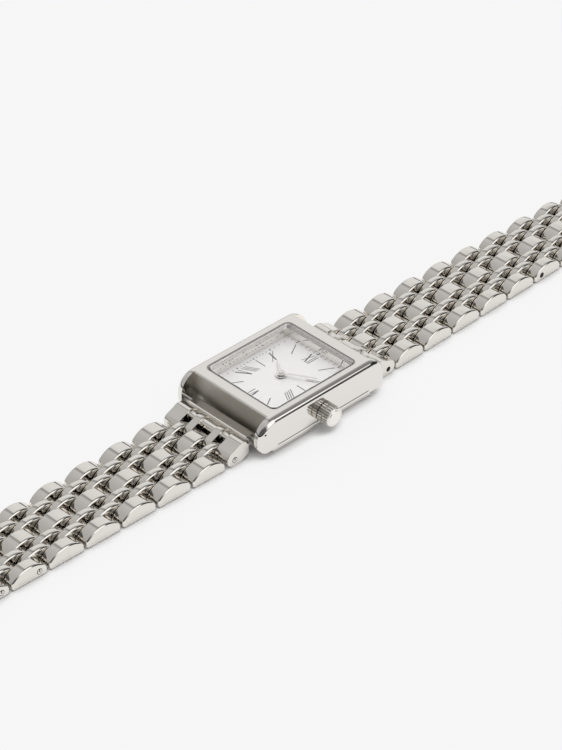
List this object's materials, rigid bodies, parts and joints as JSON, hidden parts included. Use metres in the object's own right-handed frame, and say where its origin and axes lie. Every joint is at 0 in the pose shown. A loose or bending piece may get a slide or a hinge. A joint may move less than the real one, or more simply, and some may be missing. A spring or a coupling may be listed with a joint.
{
  "type": "rectangular wristwatch",
  "caption": "Rectangular steel dress watch with numeral dial, hands at ten past ten, fluted crown and a brick-pattern link bracelet laid open, with folding clasp.",
  "frame": {"origin": "centre of the caseback's flat underside", "axes": "+Z out of the dial, +Y towards 12 o'clock along the bracelet, +X towards the crown"},
  "size_m": [0.0208, 0.1731, 0.0065],
  "materials": {
    "polished_steel": "mirror polished",
    "plain_steel": "turned, as machined",
    "crystal_glass": "polished",
    "white_gasket": "moulded",
    "black_gasket": "moulded",
    "dial_enamel": "satin white lacquer",
    "holder_plastic": "moulded",
    "nickel_brass": "nickel plated",
    "board_green": "coated laminate",
    "copper_wire": "enamelled copper wire",
    "hand_steel": "polished",
    "wheel_brass": "cut, unplated"
  },
  "bodies": {
    "case": {"case_middle": "polished_steel", "crystal": "crystal_glass", "crystal_gasket": "white_gasket", "caseback": "polished_steel", "back_gasket": "black_gasket", "dial": "dial_enamel", "movement_holder": "holder_plastic", "main_plate": "nickel_brass", "train_bridge": "nickel_brass", "circuit_board": "board_green", "coil": "copper_wire", "battery": "plain_steel", "battery_strap": "plain_steel", "crown_tube": "plain_steel", "lug_bars": "plain_steel"},
    "minute_train": {"minute_hand": "hand_steel", "cannon_pinion": "plain_steel"},
    "hour_train": {"hour_hand": "hand_steel", "hour_wheel": "wheel_brass"},
    "minute_wheel": {"minute_wheel": "wheel_brass"},
    "setting_lever": {"setting_lever": "plain_steel"},
    "crown": {"crown": "polished_steel", "stem": "plain_steel"},
    "end_link_twelve": {"end_link_twelve": "polished_steel"},
    "inner_row_twelve_1": {"inner_row_twelve_1": "polished_steel"},
    "outer_row_twelve_1": {"outer_row_twelve_1": "polished_steel"},
    "inner_row_twelve_2": {"inner_row_twelve_2": "polished_steel"},
    "outer_row_twelve_2": {"outer_row_twelve_2": "polished_steel"},
    "inner_row_twelve_3": {"inner_row_twelve_3": "polished_steel"},
    "outer_row_twelve_3": {"outer_row_twelve_3": "polished_steel"},
    "inner_row_twelve_4": {"inner_row_twelve_4": "polished_steel"},
    "outer_row_twelve_4": {"outer_row_twelve_4": "polished_steel"},
    "inner_row_twelve_5": {"inner_row_twelve_5": "polished_steel"},
    "outer_row_twelve_5": {"outer_row_twelve_5": "polished_steel"},
    "inner_row_twelve_6": {"inner_row_twelve_6": "polished_steel"},
    "outer_row_twelve_6": {"outer_row_twelve_6": "polished_steel"},
    "inner_row_twelve_7": {"inner_row_twelve_7": "polished_steel"},
    "outer_row_twelve_7": {"outer_row_twelve_7": "polished_steel"},
    "inner_row_twelve_8": {"inner_row_twelve_8": "polished_steel"},
    "outer_row_twelve_8": {"outer_row_twelve_8": "polished_steel"},
    "inner_row_twelve_9": {"inner_row_twelve_9": "polished_steel"},
    "outer_row_twelve_9": {"outer_row_twelve_9": "polished_steel"},
    "clasp_catch": {"clasp_catch": "polished_steel"},
    "end_link_six": {"end_link_six": "polished_steel"},
    "inner_row_six_1": {"inner_row_six_1": "polished_steel"},
    "outer_row_six_1": {"outer_row_six_1": "polished_steel"},
    "inner_row_six_2": {"inner_row_six_2": "polished_steel"},
    "outer_row_six_2": {"outer_row_six_2": "polished_steel"},
    "inner_row_six_3": {"inner_row_six_3": "polished_steel"},
    "outer_row_six_3": {"outer_row_six_3": "polished_steel"},
    "inner_row_six_4": {"inner_row_six_4": "polished_steel"},
    "outer_row_six_4": {"outer_row_six_4": "polished_steel"},
    "inner_row_six_5": {"inner_row_six_5": "polished_steel"},
    "outer_row_six_5": {"outer_row_six_5": "polished_steel"},
    "inner_row_six_6": {"inner_row_six_6": "polished_steel"},
    "outer_row_six_6": {"outer_row_six_6": "polished_steel"},
    "inner_row_six_7": {"inner_row_six_7": "polished_steel"},
    "outer_row_six_7": {"outer_row_six_7": "polished_steel"},
    "clasp_base": {"clasp_base": "polished_steel"},
    "clasp_cover": {"clasp_cover": "polished_steel"}
  },
  "joints": [
    {"name": "minute_hand_turn", "type": "hinge", "parent": "case", "child": "minute_train", "pos_m": [0, 0, 0.00435], "axis": [0, 0, -1], "continuous": true},
    {"name": "hour_hand_turn", "type": "hinge", "parent": "case", "child": "hour_train", "pos_m": [0, 0, 0.004], "axis": [0, 0, -1], "continuous": true},
    {"name": "minute_wheel_turn", "type": "hinge", "parent": "case", "child": "minute_wheel", "pos_m": [-0.00192, 0, 0.00283], "axis": [0, 0, -1], "continuous": true},
    {"name": "crown_pull", "type": "slide", "parent": "case", "child": "setting_lever", "axis": [1, 0, 0], "range_m": [0, 0.0009]},
    {"name": "crown_turn", "type": "hinge", "parent": "setting_lever", "child": "crown", "pos_m": [0.00935, 0, 0.0028], "axis": [1, 0, 0], "continuous": true},
    {"name": "lug_twelve", "type": "hinge", "parent": "case", "child": "end_link_twelve", "pos_m": [0, 0.012, 0.00225], "axis": [1, 0, 0], "range_deg": [-40, 15]},
    {"name": "twelve_hinge_1", "type": "hinge", "parent": "end_link_twelve", "child": "inner_row_twelve_1", "pos_m": [0, 0.01624, 0.00113], "axis": [1, 0, 0], "range_deg": [-9, 8]},
    {"name": "twelve_hinge_2", "type": "hinge", "parent": "inner_row_twelve_1", "child": "outer_row_twelve_1", "pos_m": [0, 0.01956, 0.00113], "axis": [1, 0, 0], "range_deg": [-9, 8]},
    {"name": "twelve_hinge_3", "type": "hinge", "parent": "outer_row_twelve_1", "child": "inner_row_twelve_2", "pos_m": [0, 0.02289, 0.00113], "axis": [1, 0, 0], "range_deg": [-9, 8]},
    {"name": "twelve_hinge_4", "type": "hinge", "parent": "inner_row_twelve_2", "child": "outer_row_twelve_2", "pos_m": [0, 0.02621, 0.00113], "axis": [1, 0, 0], "range_deg": [-9, 8]},
    {"name": "twelve_hinge_5", "type": "hinge", "parent": "outer_row_twelve_2", "child": "inner_row_twelve_3", "pos_m": [0, 0.02954, 0.00113], "axis": [1, 0, 0], "range_deg": [-9, 8]},
    {"name": "twelve_hinge_6", "type": "hinge", "parent": "inner_row_twelve_3", "child": "outer_row_twelve_3", "pos_m": [0, 0.03286, 0.00113], "axis": [1, 0, 0], "range_deg": [-9, 8]},
    {"name": "twelve_hinge_7", "type": "hinge", "parent": "outer_row_twelve_3", "child": "inner_row_twelve_4", "pos_m": [0, 0.03619, 0.00113], "axis": [1, 0, 0], "range_deg": [-9, 8]},
    {"name": "twelve_hinge_8", "type": "hinge", "parent": "inner_row_twelve_4", "child": "outer_row_twelve_4", "pos_m": [0, 0.03951, 0.00113], "axis": [1, 0, 0], "range_deg": [-9, 8]},
    {"name": "twelve_hinge_9", "type": "hinge", "parent": "outer_row_twelve_4", "child": "inner_row_twelve_5", "pos_m": [0, 0.04284, 0.00113], "axis": [1, 0, 0], "range_deg": [-9, 8]},
    {"name": "twelve_hinge_10", "type": "hinge", "parent": "inner_row_twelve_5", "child": "outer_row_twelve_5", "pos_m": [0, 0.04616, 0.00113], "axis": [1, 0, 0], "range_deg": [-9, 8]},
    {"name": "twelve_hinge_11", "type": "hinge", "parent": "outer_row_twelve_5", "child": "inner_row_twelve_6", "pos_m": [0, 0.04949, 0.00113], "axis": [1, 0, 0], "range_deg": [-9, 8]},
    {"name": "twelve_hinge_12", "type": "hinge", "parent": "inner_row_twelve_6", "child": "outer_row_twelve_6", "pos_m": [0, 0.05281, 0.00113], "axis": [1, 0, 0], "range_deg": [-9, 8]},
    {"name": "twelve_hinge_13", "type": "hinge", "parent": "outer_row_twelve_6", "child": "inner_row_twelve_7", "pos_m": [0, 0.05614, 0.00113], "axis": [1, 0, 0], "range_deg": [-9, 8]},
    {"name": "twelve_hinge_14", "type": "hinge", "parent": "inner_row_twelve_7", "child": "outer_row_twelve_7", "pos_m": [0, 0.05946, 0.00113], "axis": [1, 0, 0], "range_deg": [-9, 8]},
    {"name": "twelve_hinge_15", "type": "hinge", "parent": "outer_row_twelve_7", "child": "inner_row_twelve_8", "pos_m": [0, 0.06279, 0.00113], "axis": [1, 0, 0], "range_deg": [-9, 8]},
    {"name": "twelve_hinge_16", "type": "hinge", "parent": "inner_row_twelve_8", "child": "outer_row_twelve_8", "pos_m": [0, 0.06611, 0.00113], "axis": [1, 0, 0], "range_deg": [-9, 8]},
    {"name": "twelve_hinge_17", "type": "hinge", "parent": "outer_row_twelve_8", "child": "inner_row_twelve_9", "pos_m": [0, 0.06944, 0.00113], "axis": [1, 0, 0], "range_deg": [-9, 8]},
    {"name": "twelve_hinge_18", "type": "hinge", "parent": "inner_row_twelve_9", "child": "outer_row_twelve_9", "pos_m": [0, 0.07276, 0.00113], "axis": [1, 0, 0], "range_deg": [-9, 8]},
    {"name": "catch_hinge", "type": "hinge", "parent": "outer_row_twelve_9", "child": "clasp_catch", "pos_m": [0, 0.07609, 0.00113], "axis": [1, 0, 0], "range_deg": [-20, 15]},
    {"name": "lug_six", "type": "hinge", "parent": "case", "child": "end_link_six", "pos_m": [0, -0.012, 0.00225], "axis": [1, 0, 0], "range_deg": [-15, 40]},
    {"name": "six_hinge_1", "type": "hinge", "parent": "end_link_six", "child": "inner_row_six_1", "pos_m": [0, -0.01624, 0.00113], "axis": [1, 0, 0], "range_deg": [-8, 9]},
    {"name": "six_hinge_2", "type": "hinge", "parent": "inner_row_six_1", "child": "outer_row_six_1", "pos_m": [0, -0.01956, 0.00113], "axis": [1, 0, 0], "range_deg": [-8, 9]},
    {"name": "six_hinge_3", "type": "hinge", "parent": "outer_row_six_1", "child": "inner_row_six_2", "pos_m": [0, -0.02289, 0.00113], "axis": [1, 0, 0], "range_deg": [-8, 9]},
    {"name": "six_hinge_4", "type": "hinge", "parent": "inner_row_six_2", "child": "outer_row_six_2", "pos_m": [0, -0.02621, 0.00113], "axis": [1, 0, 0], "range_deg": [-8, 9]},
    {"name": "six_hinge_5", "type": "hinge", "parent": "outer_row_six_2", "child": "inner_row_six_3", "pos_m": [0, -0.02954, 0.00113], "axis": [1, 0, 0], "range_deg": [-8, 9]},
    {"name": "six_hinge_6", "type": "hinge", "parent": "inner_row_six_3", "child": "outer_row_six_3", "pos_m": [0, -0.03286, 0.00113], "axis": [1, 0, 0], "range_deg": [-8, 9]},
    {"name": "six_hinge_7", "type": "hinge", "parent": "outer_row_six_3", "child": "inner_row_six_4", "pos_m": [0, -0.03619, 0.00113], "axis": [1, 0, 0], "range_deg": [-8, 9]},
    {"name": "six_hinge_8", "type": "hinge", "parent": "inner_row_six_4", "child": "outer_row_six_4", "pos_m": [0, -0.03951, 0.00113], "axis": [1, 0, 0], "range_deg": [-8, 9]},
    {"name": "six_hinge_9", "type": "hinge", "parent": "outer_row_six_4", "child": "inner_row_six_5", "pos_m": [0, -0.04284, 0.00113], "axis": [1, 0, 0], "range_deg": [-8, 9]},
    {"name": "six_hinge_10", "type": "hinge", "parent": "inner_row_six_5", "child": "outer_row_six_5", "pos_m": [0, -0.04616, 0.00113], "axis": [1, 0, 0], "range_deg": [-8, 9]},
    {"name": "six_hinge_11", "type": "hinge", "parent": "outer_row_six_5", "child": "inner_row_six_6", "pos_m": [0, -0.04949, 0.00113], "axis": [1, 0, 0], "range_deg": [-8, 9]},
    {"name": "six_hinge_12", "type": "hinge", "parent": "inner_row_six_6", "child": "outer_row_six_6", "pos_m": [0, -0.05281, 0.00113], "axis": [1, 0, 0], "range_deg": [-8, 9]},
    {"name": "six_hinge_13", "type": "hinge", "parent": "outer_row_six_6", "child": "inner_row_six_7", "pos_m": [0, -0.05614, 0.00113], "axis": [1, 0, 0], "range_deg": [-8, 9]},
    {"name": "six_hinge_14", "type": "hinge", "parent": "inner_row_six_7", "child": "outer_row_six_7", "pos_m": [0, -0.05946, 0.00113], "axis": [1, 0, 0], "range_deg": [-8, 9]},
    {"name": "clasp_base_hinge", "type": "hinge", "parent": "outer_row_six_7", "child": "clasp_base", "pos_m": [0, -0.06279, 0.00113], "axis": [1, 0, 0], "range_deg": [-8, 9]},
    {"name": "clasp_cover_hinge", "type": "hinge", "parent": "clasp_base", "child": "clasp_cover", "pos_m": [0, -0.06713, 0.0013], "axis": [-1, 0, 0], "range_deg": [0, 110]}
  ],
  "couplings": [
    {"joint": "hour_hand_turn", "follows": "minute_hand_turn", "ratio": 0.083333},
    {"joint": "minute_wheel_turn", "follows": "minute_hand_turn", "ratio": -0.33333}
  ]
}
